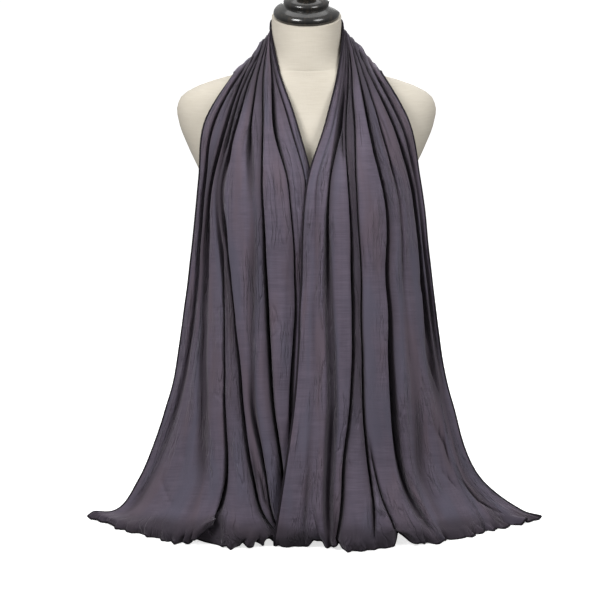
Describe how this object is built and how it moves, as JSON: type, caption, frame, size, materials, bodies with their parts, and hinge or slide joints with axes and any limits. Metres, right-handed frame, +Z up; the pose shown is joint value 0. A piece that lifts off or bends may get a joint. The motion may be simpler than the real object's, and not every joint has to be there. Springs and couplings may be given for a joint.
{
  "type": "jersey hijab shawl draped on a limbless dress form",
  "caption": "Plain dark mauve-grey jersey shawl hung round the neck of a linen dress form, both ends falling in long folds to a ruffled hem on the surface.",
  "frame": {"origin": "centre of the dress form's flat bottom, on the surface that the form and the hems stand on", "axes": "+Z up the form to its neck cap, -Y the way the form faces, +X the form's own left, where the upper end of the shawl hangs"},
  "size_m": [0.6701, 0.3474, 0.7947],
  "materials": {
    "linen": "smooth pale beige linen stretched over a hard bust, matt",
    "black_lacquer": "turned wood under glossy black lacquer",
    "jersey": "fine dark mauve-grey viscose jersey with faint cross streaks and a soft sheen"
  },
  "bodies": {
    "root": {"torso": "linen", "neck_cap": "black_lacquer", "shawl_back_neck": "jersey", "shawl_front_left": "jersey", "shawl_front_right": "jersey"}
  },
  "joints": []
}
